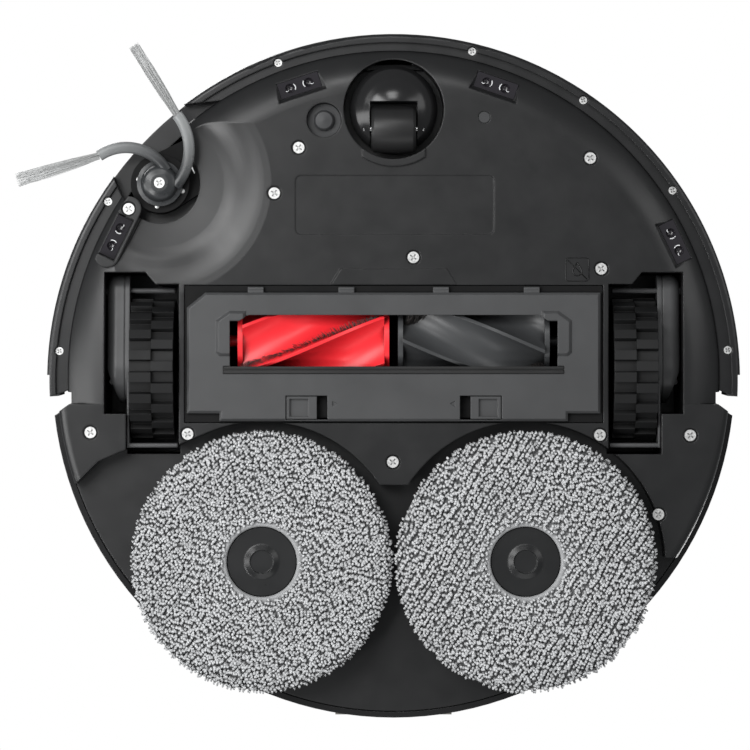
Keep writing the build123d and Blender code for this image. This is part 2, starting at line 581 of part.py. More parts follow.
# ---- main brush ---------------------------------------------------------------------------------------
def brush_housing():
    """The tunnel that the rollers turn in, with its flange, end blocks and suction mouth."""
    tunnel = across(27.0, -90, 90, ROLLER_Y, ROLLER_Z)
    housing = box(-106, 106, -46.1, 23.3, 10.6, 13.0)
    housing += tunnel & box(-FAR, FAR, -FAR, FAR, 10.6, 120)
    for sign in SIDES.values():
        housing += box(sign * 88, sign * 103.1, -38, 4, 10.6, 44)
    housing += box(-42, 42, -4, 21, 12, 52)
    housing -= across(24.5, -86.5, 86.5, ROLLER_Y, ROLLER_Z)
    housing -= box(-86.5, 86.5, ROLLER_Y - 24.5, ROLLER_Y + 24.5, 0, ROLLER_Z)
    housing -= box(-39.5, 39.5, -1.5, 18.5, 30, 60) + box(-39.5, 39.5, -8, 10, 33, 42)
    for sign in SIDES.values():
        housing -= across(8.0, sign * 86, sign * 99, ROLLER_Y, ROLLER_Z)
    for sign in SIDES.values():
        housing -= box(sign * 33.0, sign * 55.4, 8, 23, 0, 13.0)
    return housing


def roller_section():
    """Cross-section of a roller: thin fin tips joined by hollow arcs."""
    pitch = 2 * pi / ROLLER_FINS
    tip = 0.045
    edges = []
    for i in range(ROLLER_FINS):
        a = i * pitch
        left = (ROLLER_R * cos(a - tip), ROLLER_R * sin(a - tip))
        right = (ROLLER_R * cos(a + tip), ROLLER_R * sin(a + tip))
        valley = (ROLLER_VALLEY_R * cos(a + 0.46 * pitch), ROLLER_VALLEY_R * sin(a + 0.46 * pitch))
        after = (ROLLER_R * cos(a + pitch - tip), ROLLER_R * sin(a + pitch - tip))
        edges += [Line(left, right), ThreePointArc(right, valley, after)]
    return make_face(Curve() + edges)


def roller(sign):
    """One half of the main brush: twisted fins between two flanges, with its stub shaft outside."""
    inner_x = sign * ROLLER_GAP / 2
    section = roller_section()
    length = ROLLER_L - 5.0
    twisted = Solid.extrude_linear_with_rotation(
        section.faces()[0], (0, 0, 0), (0, 0, length), sign * ROLLER_TWIST
    )
    place = Pos(inner_x + sign * 2.5, ROLLER_Y, ROLLER_Z) * Rot(0, 90 * sign, 0)
    body = Part() + place * twisted
    body += across(16.6, inner_x, inner_x + sign * 2.6, ROLLER_Y, ROLLER_Z)
    outer_end = ROLLER_GAP / 2 + ROLLER_L
    body += across(16.6, sign * (outer_end - 2.6), sign * outer_end, ROLLER_Y, ROLLER_Z)
    body += across(3.0, sign * (ROLLER_GAP / 2 + ROLLER_L - 1), sign * 96.0, ROLLER_Y, ROLLER_Z)
    return body


def roller_bearings():
    rings = []
    for sign in SIDES.values():
        ring = across(7.95, sign * 91.0, sign * 98.5, ROLLER_Y, ROLLER_Z)
        ring -= across(3.05, sign * 90, sign * 100, ROLLER_Y, ROLLER_Z)
        rings.append(ring.solids()[0])
    return Compound(rings)


def brush_cover():
    """Frame that closes the tunnel below, with its window, raised ends, latch windows and hinge beads."""
    outline = [(-104.9, -35), (-95.5, -42.6), (104.9, -42.6), (104.9, 18.7), (88.4, 18.7), (88.4, 22.7),
               (-88.4, 22.7), (-88.4, 18.7), (-104.9, 18.7)]  # fmt: skip
    cover = slab(polygon(outline), 7.0, 10.2)
    cover = chamfer(cover.faces().sort_by(Axis.Z)[0].edges(), 1.3)
    ear = [(75.0, -33.2), (83.4, -33.2), (90.2, -28.4), (90.2, -12.2), (88.2, -10.4), (75.0, -10.4)]
    for sign in SIDES.values():
        raised = slab(polygon([(sign * x, y) for x, y in ear]), 5.4, 9.0)
        cover += chamfer(raised.faces().sort_by(Axis.Z)[0].edges(), 1.4)
    for x in (-70, -24, 24, 70):
        cover += across(COVER_BEAD_R, x - 4, x + 4, COVER_HINGE_Y, COVER_HINGE_Z)
        cover += box(x - 4, x + 4, COVER_HINGE_Y, -42.0, 8.4, 9.8)
    window = [(-83.1, -5.2), (-83.1, -25.2), (-73.5, -31.2), (73.5, -31.2), (83.1, -25.2), (83.1, -5.2)]
    cover -= slab(polygon(window), 0, 20)
    cover -= across(ROLLER_R + 1.0, -83.1, 83.1, ROLLER_Y, ROLLER_Z)
    cover -= box(-86.4, 86.4, -5.3, -1.3, 0, 8.4)
    for sign in SIDES.values():
        cover -= box(sign * 33.6, sign * 54.8, 9.7, 21.9, 0, 20)
        cover -= slab(polygon([(sign * 31.0, 12.4), (sign * 31.0, 15.2), (sign * 28.6, 13.8)]), 0, 7.4)
    return cover


def brush_strip():
    """Rubber blade along the rear of the window."""
    strip = box(-86.2, 86.2, -5.1, -1.5, 6.4, 8.3)
    return strip - box(-90, 90, -3.8, -3.0, 0, 7.0)


def latch(sign):
    """Sliding catch of the brush cover, with a finger cup."""
    slider = box(sign * 54.4, sign * 39.0, 10.1, 21.5, 7.6, 10.1)
    slider -= box(sign * 52.8, sign * 43.2, 11.4, 20.4, 0, 9.2)
    return slider


def brush_motor():
    """Main brush motor and its reduction gear, behind the tunnel's right end."""
    can = across(11.5, -98, -46, 36.0, 41.0) + across(5.0, -102, -98, 36.0, 41.0)
    return can


# ---- mops ---------------------------------------------------------------------------------------------
def mop_pad(side):
    """The cloth ring of a mop, as a plain crowned disc."""
    x, y = MOP_CENTRES[side]
    return turned(
        [(PAD_HOLE_R + 0.4, 0), (PAD_R, 0), (PAD_R, PAD_T), (PAD_HOLE_R + 0.4, PAD_T)],
        [((PAD_R, 0), 4.0), ((PAD_R, PAD_T), 3.0), ((PAD_HOLE_R + 0.4, 0), 1.5)],
        x, y,
    )  # fmt: skip


def mop_plate(side):
    """The turning plate that the cloth is stuck to, with its hub and the socket's ring."""
    x, y = MOP_CENTRES[side]
    plate = turned(
        [(0, 3.6), (5.7, 3.6), (6.1, 3.0), (8.7, 4.3), (9.2, 4.4),
         (PAD_HOLE_R, 4.4), (PAD_HOLE_R, PAD_T + 0.2),
         (60, PAD_T + 0.2), (60, 11.6), (14, 11.6), (14, PLATE_TOP_Z), (0, PLATE_TOP_Z)],
        (), x, y,
    )  # fmt: skip
    return plate + cyl(4.9, PLATE_TOP_Z - 1, 33.0, x, y)


def mop_gearbox(side):
    """Gear case and motor that turn a mop, and ride up with it."""
    x, y = MOP_CENTRES[side]
    case = cyl(16.0, 30.0, 40.0, x, y) + cyl(12.0, 40.0, 51.0, x, y)
    if side == "right":
        reach = make_hull((Pos(x, y) * Circle(14.0) + Pos(x + 10, y - 14) * Circle(8.0)).edges())
        case += slab(reach, 30.0, 38.0)
    return case - cyl(4.96, 20, 34, x, y)


def mop_carriage():
    """The arm that swings the right mop out, pinned at its pivot."""
    x, y = MOP_CENTRES["right"]
    ends = Pos(x, y) * Circle(22.0) + Pos(MOP_PIVOT_X, MOP_PIVOT_Y) * Circle(8.0)
    arm = slab(make_hull(ends.edges()), 29.0, 63.0)
    arm -= cyl(18.5, 20, 80, x, y)
    arm -= slab(make_hull((Pos(x, y) * Circle(15.0) + Pos(x + 10, y - 14) * Circle(9.5)).edges()), 20, 80)
    arm -= slab(polygon([(-60, 60), (-40, 75), (-40, 120), (-66, 130), (-66, 60)]), 20, 80)
    return arm - cyl(3.1, 20, 80, MOP_PIVOT_X, MOP_PIVOT_Y)


# ---- upper assembly -----------------------------------------------------------------------------------
def dust_bin():
    """Lift-out bin with its inlet below and an outlet to the filter on its left end."""
    bin_ = box(-75, 75, -45, 18, 53, 81.6)
    bin_ = fillet(bin_.edges().filter_by(Axis.Z), 5.0)
    bin_ -= box(-73, 61, -43, 16, 55, 79.6)
    bin_ -= box(-38, 38, -1, 14, 50, 56)
    bin_ -= box(62.5, 72.5, -40, 13, 55, 90)
    bin_ -= box(60, 63, -36, 9, 58, 77)
    return bin_


def air_filter():
    """Pleated filter cassette in the bin's left end."""
    frame = box(62.9, 72.1, -39.6, 12.6, 55.4, 79.4)
    for i in range(12):
        y = -36 + i * 4.0
        frame -= box(70.0, 73, y, y + 2.0, 57, 78)
    return frame


def lidar_mount():
    cup = turned(
        [(0, 64.5), (44, 64.5), (44, 84.6), (46.8, 84.6), (48.0, 89.0), (45.6, 90.0),
         (40.0, 90.0), (40.0, 68), (0, 68)],
        [((48.0, 89.0), 1.0)],
        0, LIDAR_Y,
    )  # fmt: skip
    return cup - cyl(3.05, 60, 70, 0, LIDAR_Y)


def lidar_head():
    """Turning laser head, with its two lens ports."""
    head = cyl(35.0, 70.0, 98.4, 0, LIDAR_Y)
    for x in (-9.0, 9.0):
        head -= Pos(x, LIDAR_Y - 35, 94.4) * Rot(90, 0, 0) * Cylinder(3.2, 6)
    return head + cyl(3.0, 64.8, 70, 0, LIDAR_Y)


def lidar_cap():
    """The tower's cap on its posts."""
    cap = turned(
        [(0, 100.2), (44.0, 100.2), (44.0, TOWER_TOP_Z), (0, TOWER_TOP_Z)],
        [((44.0, TOWER_TOP_Z), 2.6)],
        0, LIDAR_Y,
    )  # fmt: skip
    posts = tube(43.4, 40.6, 90.1, 100.3, 0, LIDAR_Y)
    wedges = box(-3, 3, LIDAR_Y - 60, LIDAR_Y + 60, 80, 110)
    upright = Axis((0, LIDAR_Y, 0), (0, 0, 1))
    wedges = wedges.rotate(upright, 45) + wedges.rotate(upright, -45)
    return cap + (posts & wedges)


def fan_housing():
    """Scroll housing of the suction fan, open above and towards the grille."""
    scroll = cyl(26.0, 31.0, 72.0, FAN_X, FAN_Y)
    scroll -= cyl(23.0, 33.5, 69.5, FAN_X, FAN_Y) + cyl(12.0, 60, 80, FAN_X, FAN_Y)
    outlet = Rot(0, 0, 35) * box(148, 168.5, -18, 18, 44, 66)
    scroll += outlet
    scroll -= Rot(0, 0, 35) * box(140, 180, -16, 16, 46, 64)
    return scroll - cyl(23.0, 33.5, 69.5, FAN_X, FAN_Y)


def fan_impeller():
    wheel = cyl(20.0, 50.0, 52.0, FAN_X, FAN_Y) + cyl(5.0, 46.0, 62.0, FAN_X, FAN_Y)
    for i in range(9):
        blade = box(4.0, 20.0, -0.7, 0.7, 51.0, 62.0)
        wheel += Pos(FAN_X, FAN_Y, 0) * Rot(0, 0, i * 40.0) * blade
    return wheel


def fan_motor():
    return cyl(14.0, 33.6, 45.6, FAN_X, FAN_Y)


def water_tank():
    tank = (cyl(168.0, 33.0, 77.0) - cyl(120.0, 0, 120)) & box(-100, 100, 125, FAR, 0, 120)
    hollow = (cyl(166.0, 35.0, 75.0) - cyl(122.0, 0, 120)) & box(-98, 98, 127, FAR, 0, 120)
    return tank - (hollow & box(-FAR, FAR, 0, FAR, 35, 75))


def water_port():
    """Rubber filler socket in the rear wall, where the dock's nozzle plugs in."""
    place = Pos(0, 0, 58) * Rot(90, 0, 0)
    port = place * Pos(0, 0, -171.5) * Cylinder(5.3, 5.0)
    return port - place * Pos(0, 0, -172.5) * Cylinder(3.5, 5.0)


def battery():
    pack = box(-52, 52, -107, -50, 19.0, 52.0)
    return fillet(pack.edges().filter_by(Axis.Z), 4.0)


def main_board():
    """Controller board over the battery, with its largest parts."""
    board = box(-60, 60, -108, -50, 56.0, 57.6)
    board += box(-20, -2, -90, -72, 57.6, 61.0) + box(10, 24, -88, -74, 57.6, 60.2)
    board += box(-50, -42, -104, -60, 57.6, 66.0)
    return board


def cliff_lenses():
    """The four drop sensors behind their windows."""
    lenses = []
    for x, y, turn in CLIFF_SENSORS:
        place = Pos(x, y, 0) * Rot(0, 0, turn)
        block = place * box(-10.8, 10.8, -4.0, 4.0, 13.4, 17.6)
        for dx in (-5.0, 5.0):
            block -= place * Pos(dx, 0, 13.4) * Sphere(2.4)
        lenses.append(block.solids()[0])
    return Compound(lenses)


def carpet_sensor():
    """Round ultrasonic sensor that tells carpet from hard floor."""
    return turned([(0, 11.6), (4.2, 11.9), (5.2, 13.0), (5.2, 15.2), (0, 15.2)], (), -35.4, -130.2) + cyl(
        8.6, 15.1, 18.0, -35.4, -130.2
    )


def infrared_window():
    return cyl(2.9, 10.3, 14.0, 46.0, -131.6)


def base_screws():
    return Compound([screw(x, y, 10.25, 2.9, 1.0, 1.6, 7.5).solids()[0] for x, y in BASE_SCREWS])


def button(x):
    cap = cyl(6.2, COVER_Z - 1.4, COVER_Z + COVER_T + 0.7, x, -122)
    return fillet(cap.faces().sort_by(Axis.Z)[-1].edges(), 0.6) + cyl(3.0, 76.0, COVER_Z - 1.0, x, -122)


def dock_contacts():
    """The two charging plates low on the rear wall."""
    return Compound([box(x - 5.8, x + 5.8, 171.6, 173.3, 33, 49).solids()[0] for x in (-24.0, 24.0)])


# ---- the assembly -------------------------------------------------------------------------------------
def assembly():
    """Every node of the robot by name."""
    nodes = {
        "base_shell": base_shell(),
        "top_shell": top_shell(),
        "top_cover": top_cover(),
        "exhaust_grille": exhaust_grille(),
        "bumper_shell": bumper_shell(),
        "bumper_ring": bumper_ring(),
        "bumper_screws": bumper_screws(),
        "bumper_springs": bumper_springs(),
        "sensor_window": sensor_window(),
        "caster_fork": caster_fork(),
        "caster_axle": caster_axle(),
        "caster_wheel": caster_wheel(),
        "side_brush_arm": side_brush_arm(),
        "side_brush_motor": side_brush_motor(),
        "side_brush_hub": side_brush_hub(),
        "side_brush_tufts": side_brush_tufts(),
        "side_brush_screw": side_brush_screw(),
        "brush_housing": brush_housing(),
        "brush_motor": brush_motor(),
        "brush_cover": brush_cover(),
        "brush_strip": brush_strip(),
        "roller_bearings": roller_bearings(),
        "right_mop_carriage": mop_carriage(),
        "dust_bin": dust_bin(),
        "air_filter": air_filter(),
        "lidar_mount": lidar_mount(),
        "lidar_head": lidar_head(),
        "lidar_cap": lidar_cap(),
        "fan_housing": fan_housing(),
        "fan_impeller": fan_impeller(),
        "fan_motor": fan_motor(),
        "water_tank": water_tank(),
        "water_port": water_port(),
        "battery": battery(),
        "main_board": main_board(),
        "cliff_lenses": cliff_lenses(),
        "carpet_sensor": carpet_sensor(),
        "infrared_window": infrared_window(),
        "base_screws": base_screws(),
        "power_button": button(-11.0),
        "dock_button": button(11.0),
        "dock_contacts": dock_contacts(),
    }
    for side, sign in SIDES.items():
        nodes[f"{side}_tyre"] = tyre(sign)
        nodes[f"{side}_wheel_rim"] = wheel_rim(sign)
        nodes[f"{side}_wheel_motor"] = wheel_motor(sign)
        nodes[f"{side}_wheel_gearbox"] = wheel_gearbox(sign)
        nodes[f"{side}_roller"] = roller(sign)
        nodes[f"{side}_latch"] = latch(sign)
        nodes[f"{side}_mop_pad"] = mop_pad(side)
        nodes[f"{side}_mop_plate"] = mop_plate(side)
        nodes[f"{side}_mop_gearbox"] = mop_gearbox(side)
    return nodes


os.makedirs("parts", exist_ok=True)
for name, shape in assembly().items():
    export_step(Pos(FOOTPRINT_SHIFT, 0, 0) * shape, f"parts/{name}.step")
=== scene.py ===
"""Looks of the robot vacuum: a material for every CAD node, pile, bristles, lights and the camera under it.

The round body's upright axis is at x = AXIS_X, in metres. Its front, with the bumper, is towards -Y.
Points given to at() are in millimetres from that axis.
"""

import json
import math
import random

import bpy
from mathutils import Matrix, Vector


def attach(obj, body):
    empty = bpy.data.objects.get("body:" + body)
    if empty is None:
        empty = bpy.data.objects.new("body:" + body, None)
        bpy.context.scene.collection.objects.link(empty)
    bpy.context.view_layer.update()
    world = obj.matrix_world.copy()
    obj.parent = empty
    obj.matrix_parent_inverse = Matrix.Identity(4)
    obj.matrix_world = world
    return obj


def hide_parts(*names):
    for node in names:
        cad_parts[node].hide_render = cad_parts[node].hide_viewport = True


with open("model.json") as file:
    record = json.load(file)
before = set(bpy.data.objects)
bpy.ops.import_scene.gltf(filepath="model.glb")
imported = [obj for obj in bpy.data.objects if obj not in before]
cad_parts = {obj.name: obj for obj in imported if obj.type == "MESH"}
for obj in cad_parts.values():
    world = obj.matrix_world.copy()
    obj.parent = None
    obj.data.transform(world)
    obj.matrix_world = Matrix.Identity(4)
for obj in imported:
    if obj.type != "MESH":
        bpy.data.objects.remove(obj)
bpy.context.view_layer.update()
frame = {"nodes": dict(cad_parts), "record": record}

NODES = frame["nodes"]
MM = 0.001
AXIS_X = 0.007
METAL_LINES = 900.0  # drawn lines on metal, in cycles per metre
BRUSH_REACH = 0.036  # from the side brush's centre to where its arms are palest, in metres


def at(x, y, z):
    """A point given in millimetres from the body's axis, in the frame's metres."""
    return Vector((x * MM + AXIS_X, y * MM, z * MM))


# ---- materials ----------------------------------------------------------------------------------------
def new_material(name):
    mat = bpy.data.materials.new(name)
    mat.use_nodes = True
    tree = mat.node_tree
    tree.nodes.clear()
    out = tree.nodes.new("ShaderNodeOutputMaterial")
    bsdf = tree.nodes.new("ShaderNodeBsdfPrincipled")
    tree.links.new(bsdf.outputs[0], out.inputs[0])
    return mat, tree, bsdf


def noise(tree, scale, detail=3.0, rough=0.55, stretch=None):
    """Object-space noise, finer with scale, in cycles per metre."""
    coords = tree.nodes.new("ShaderNodeTexCoord")
    node = tree.nodes.new("ShaderNodeTexNoise")
    node.inputs["Scale"].default_value = scale
    node.inputs["Detail"].default_value = detail
    node.inputs["Roughness"].default_value = rough
    if stretch:
        mapping = tree.nodes.new("ShaderNodeMapping")
        mapping.inputs["Scale"].default_value = stretch
        tree.links.new(coords.outputs["Object"], mapping.inputs["Vector"])
        tree.links.new(mapping.outputs[0], node.inputs["Vector"])
    else:
        tree.links.new(coords.outputs["Object"], node.inputs["Vector"])
    return node.outputs["Fac"]


def ramp(tree, factor, stops):
    """A colour ramp. stops holds (position, value or colour) pairs."""
    node = tree.nodes.new("ShaderNodeValToRGB")
    tree.links.new(factor, node.inputs["Fac"])
    elements = node.color_ramp.elements
    while len(elements) < len(stops):
        elements.new(0.5)
    for element, (position, value) in zip(elements, stops):
        element.position = position
        colour = (value, value, value) if isinstance(value, (int, float)) else value
        element.color = (*colour, 1.0)
    return node.outputs["Color"]


def bump(tree, bsdf, height, strength, distance):
    node = tree.nodes.new("ShaderNodeBump")
    node.inputs["Strength"].default_value = strength
    node.inputs["Distance"].default_value = distance
    tree.links.new(height, node.inputs["Height"])
    tree.links.new(node.outputs["Normal"], bsdf.inputs["Normal"])
    return node


def scaled(colour, k):
    return tuple(c * k for c in colour)


def multiplied(tree, one, other):
    """The product of two colours."""
    mix = tree.nodes.new("ShaderNodeMix")
    mix.data_type = "RGBA"
    mix.blend_type = "MULTIPLY"
    mix.inputs[0].default_value = 1.0
    tree.links.new(one, mix.inputs[6])
    tree.links.new(other, mix.inputs[7])
    return mix.outputs[2]


def creases(tree, reach, darkest):
    """Painted shade: white on open faces, down to darkest where other faces crowd in within reach."""
    node = tree.nodes.new("ShaderNodeAmbientOcclusion")
    node.samples = 6
    node.inputs["Distance"].default_value = reach
    return ramp(tree, node.outputs["AO"], [(0.35, darkest), (0.85, 1.0)])


def moulded(
    name, colour, rough, grain=2600.0, grain_depth=0.00002,
    sheen=0.0, spread=0.10, edge=0.0, crease_shade=None, shine=0.5,
):  # fmt: skip
    """Moulded plastic or rubber: fine grain, slow drifts of tone and gloss, and edges that catch light."""
    mat, tree, bsdf = new_material(name)
    drift = noise(tree, 26.0, 4.0)
    tone = ramp(tree, drift, [(0.3, scaled(colour, 1 - spread)), (0.7, scaled(colour, 1 + spread))])
    # crease_shade multiplies the tone by painted shade that darkens grooves and hollows
    if crease_shade:
        tone = multiplied(tree, tone, creases(tree, *crease_shade))
    tree.links.new(tone, bsdf.inputs["Base Color"])
    gloss = ramp(tree, noise(tree, 70.0, 5.0), [(0.3, rough * 0.9), (0.7, rough * 1.12)])
    tree.links.new(gloss, bsdf.inputs["Roughness"])
    bsdf.inputs["Specular IOR Level"].default_value = shine
    node = bump(tree, bsdf, noise(tree, grain, 2.0), 0.35, grain_depth)
    if edge:
        rounded = tree.nodes.new("ShaderNodeBevel")
        rounded.samples = 4
        rounded.inputs["Radius"].default_value = edge
        tree.links.new(rounded.outputs[0], node.inputs["Normal"])
    if sheen:
        bsdf.inputs["Coat Weight"].default_value = sheen
        bsdf.inputs["Coat Roughness"].default_value = 0.12
    return mat


def metal(name, colour, rough, metallic=1.0, crease_shade=None):
    """Bright metal with fine turned or drawn lines."""
    mat, tree, bsdf = new_material(name)
    bsdf.inputs["Metallic"].default_value = metallic
    streaks = noise(tree, METAL_LINES, 3.0, 0.6, (1.0, 1.0, 0.2))
    tone = ramp(tree, streaks, [(0.3, scaled(colour, 0.82)), (0.7, colour)])
    # crease_shade multiplies the tone by painted shade that darkens slots and hollows
    if crease_shade:
        tone = multiplied(tree, tone, creases(tree, *crease_shade))
    tree.links.new(tone, bsdf.inputs["Base Color"])
    gloss = ramp(tree, streaks, [(0.3, rough * 0.8), (0.7, rough * 1.3)])
    tree.links.new(gloss, bsdf.inputs["Roughness"])
    bump(tree, bsdf, streaks, 0.2, 0.00002)
    return mat


def shaded_fibre(name, dark, pale, rough, sheen=0.0):
    """Cloth or bristle fibres, toned by the mesh's shade attribute and a fine mottle. The fibres run darker
    towards their roots, which on the mop cloth is painted shade deep in the pile.
    """
    mat, tree, bsdf = new_material(name)
    shade = tree.nodes.new("ShaderNodeAttribute")
    shade.attribute_name = "shade"
    tone = ramp(tree, shade.outputs["Fac"], [(0.0, dark), (1.0, pale)])
    mottle = ramp(tree, noise(tree, 900.0, 3.0), [(0.3, 0.82), (0.7, 1.0)])
    tree.links.new(multiplied(tree, tone, mottle), bsdf.inputs["Base Color"])
    bsdf.inputs["Roughness"].default_value = rough
    bsdf.inputs["Sheen Weight"].default_value = sheen
    bump(tree, bsdf, noise(tree, 4200.0, 2.0), 0.5, 0.00008)
    return mat


def smoked_brush(name):
    """Translucent elastomer: dark over the hub, paling along the arms."""
    mat, tree, bsdf = new_material(name)
    coords = tree.nodes.new("ShaderNodeTexCoord")
    away = tree.nodes.new("ShaderNodeVectorMath")
    away.operation = "DISTANCE"
    away.inputs[1].default_value = at(-118.7, -98.1, 6.0)
    tree.links.new(coords.outputs["Object"], away.inputs[0])
    reach = tree.nodes.new("ShaderNodeMath")
    reach.operation = "MULTIPLY"
    reach.inputs[1].default_value = 1 / BRUSH_REACH
    tree.links.new(away.outputs["Value"], reach.inputs[0])
    hub, root, end = (0.030, 0.032, 0.034), (0.085, 0.088, 0.090), (0.30, 0.31, 0.31)
    tone = ramp(tree, reach.outputs[0], [(0.28, hub), (0.42, root), (1.0, end)])
    tree.links.new(tone, bsdf.inputs["Base Color"])
    gloss = ramp(tree, noise(tree, 120.0, 4.0), [(0.3, 0.24), (0.7, 0.36)])
    tree.links.new(gloss, bsdf.inputs["Roughness"])
    bsdf.inputs["Subsurface Weight"].default_value = 0.25
    bsdf.inputs["Subsurface Radius"].default_value = (0.003, 0.003, 0.003)
    bump(tree, bsdf, noise(tree, 1500.0, 2.0), 0.25, 0.00003)
    return mat


# crease_shade paints shade into the tyres' lug grooves, the rollers' grooves and the screw slots
MATERIALS = {
    "shell_black": moulded("shell_black", (0.0135, 0.0138, 0.0143), 0.32, grain_depth=0.00001, edge=0.0010),
    "skirt_black": moulded(
        "skirt_black", (0.0125, 0.0125, 0.0130), 0.20, grain=3600.0, grain_depth=0.000004, edge=0.0006
    ),
    "bumper_black": moulded("bumper_black", (0.0120, 0.0122, 0.0128), 0.32, grain_depth=0.00001, edge=0.0008),
    "cover_grey": moulded("cover_grey", (0.060, 0.061, 0.0625), 0.36, edge=0.0007),
    # deep_black is near-black with little shine: painted shade on the brush housing and other parts deep in
    # recesses; on the infrared window it is the window's own dark tint
    "deep_black": moulded("deep_black", (0.0030, 0.0030, 0.0032), 0.60, edge=0.0004, shine=0.2),
    "arm_grey": moulded("arm_grey", (0.078, 0.079, 0.081), 0.38, edge=0.0010),
    "tyre_rubber": moulded(
        "tyre_rubber", (0.0075, 0.0077, 0.0080), 0.58, grain=1800.0, grain_depth=0.00004, edge=0.0006,
        crease_shade=(0.006, 0.05), shine=0.35,
    ),
    "seal_rubber": moulded("seal_rubber", (0.0120, 0.0120, 0.0122), 0.40, edge=0.0005),
    "roller_red": moulded(
        "roller_red", (0.95, 0.026, 0.036), 0.36, grain=1500.0, edge=0.0004, spread=0.06, crease_shade=(0.006, 0.25)
    ),
    "roller_grey": moulded(
        "roller_grey", (0.050, 0.052, 0.054), 0.34, grain=1500.0, edge=0.0004, crease_shade=(0.006, 0.2)
    ),
    "plate_black": moulded("plate_black", (0.0130, 0.0135, 0.0140), 0.30, edge=0.0006),
    "lens_dark": moulded("lens_dark", (0.020, 0.018, 0.022), 0.08, grain_depth=0.000002, sheen=0.6),
    "sensor_grey": moulded("sensor_grey", (0.040, 0.041, 0.043), 0.42, edge=0.0004),
    "battery_wrap": moulded("battery_wrap", (0.030, 0.045, 0.110), 0.35),
    "board_green": moulded("board_green", (0.015, 0.090, 0.045), 0.40, grain=900.0),
    "bin_clear": moulded("bin_clear", (0.085, 0.086, 0.090), 0.18, sheen=0.3),
    "tank_clear": moulded("tank_clear", (0.120, 0.125, 0.130), 0.18, sheen=0.3),
    "screw_steel": metal("screw_steel", (0.86, 0.86, 0.85), 0.36, metallic=0.7, crease_shade=(0.0007, 0.03)),
    "axle_steel": metal("axle_steel", (0.72, 0.72, 0.72), 0.22),
    "motor_can": metal("motor_can", (0.50, 0.50, 0.51), 0.34),
    "spring_steel": metal("spring_steel", (0.55, 0.55, 0.57), 0.30),
    "contact_metal": metal("contact_metal", (0.80, 0.77, 0.70), 0.20),
    "bearing_bronze": metal("bearing_bronze", (0.58, 0.42, 0.24), 0.35),
    "pad_cloth": shaded_fibre("pad_cloth", (0.150, 0.153, 0.156), (0.76, 0.77, 0.78), 0.85, 0.25),
    "filter_white": moulded("filter_white", (0.60, 0.61, 0.60), 0.8, grain=1400.0, grain_depth=0.0001),
    "bristle_grey": shaded_fibre("bristle_grey", (0.30, 0.305, 0.30), (0.70, 0.71, 0.71), 0.42),
    "roller_bristle": shaded_fibre("roller_bristle", (0.012, 0.010, 0.010), (0.085, 0.072, 0.066), 0.55),
    "brush_smoke": smoked_brush("brush_smoke"),
    "lens_glint": moulded("lens_glint", (0.80, 0.81, 0.82), 0.25),
    "mark_black": moulded("mark_black", (0.0030, 0.0030, 0.0032), 0.30),
}
for part in frame["record"]["subparts"]:
    mesh = NODES[part["node"]].data
    mesh.materials.clear()
    mesh.materials.append(MATERIALS[part["material_slot"]])


# ---- mesh helpers -------------------------------------------------------------------------------------
class Strands:
    """Collects many thin tapered tubes in one mesh, each vertex with a shade from 0 to 1."""

    def __init__(self, sides):
        self.sides = sides
        self.points = []
        self.faces = []
        self.shades = []

    def add(self, line, radii, shades):
        """A tube along line, closed at its far end."""
        first = len(self.points)
        rings = len(line)
        for i, centre in enumerate(line):
            along = (line[min(i + 1, rings - 1)] - line[max(i - 1, 0)]).normalized()
            side = along.orthogonal().normalized()
            other = along.cross(side)
            for k in range(self.sides):
                a = 2 * math.pi * k / self.sides
                offset = side * math.cos(a) + other * math.sin(a)
                self.points.append(centre + offset * radii[i])
                self.shades.append(shades[i])
        for i in range(rings - 1):
            for k in range(self.sides):
                a = first + i * self.sides + k
                b = first + i * self.sides + (k + 1) % self.sides
                self.faces.append((a, b, b + self.sides, a + self.sides))
        end = first + (rings - 1) * self.sides
        self.faces.append(tuple(end + k for k in range(self.sides)))

    def build(self, name, material):
        mesh = bpy.data.meshes.new(name)
        mesh.from_pydata(self.points, [], self.faces)
        layer = mesh.attributes.new("shade", "FLOAT", "POINT")
        layer.data.foreach_set("value", self.shades)
        mesh.polygons.foreach_set("use_smooth", [True] * len(mesh.polygons))
        mesh.materials.append(material)
        obj = bpy.data.objects.new(name, mesh)
        bpy.context.scene.collection.objects.link(obj)
        return obj


def revolved(points, faces, shades, profile, centre, steps):
    """Adds a ring turned from a closed profile of (radius, height, shade), in millimetres."""
    first = len(points)
    count = len(profile)
    for i in range(steps):
        a = 2 * math.pi * i / steps
        for radius, height, shade in profile:
            points.append(at(centre[0] + radius * math.cos(a), centre[1] + radius * math.sin(a), height))
            shades.append(shade)
    for i in range(steps):
        for k in range(count):
            a = first + i * count + k
            b = first + i * count + (k + 1) % count
            c = first + ((i + 1) % steps) * count + (k + 1) % count
            d = first + ((i + 1) % steps) * count + k
            faces.append((a, b, c, d))


# ---- mop cloths ---------------------------------------------------------------------------------------
PAD_R = 66.4
PAD_HOLE = 17.8
PITCH_ALONG, PITCH_ACROSS = 1.5, 1.3  # between noodles in a row, and between rows


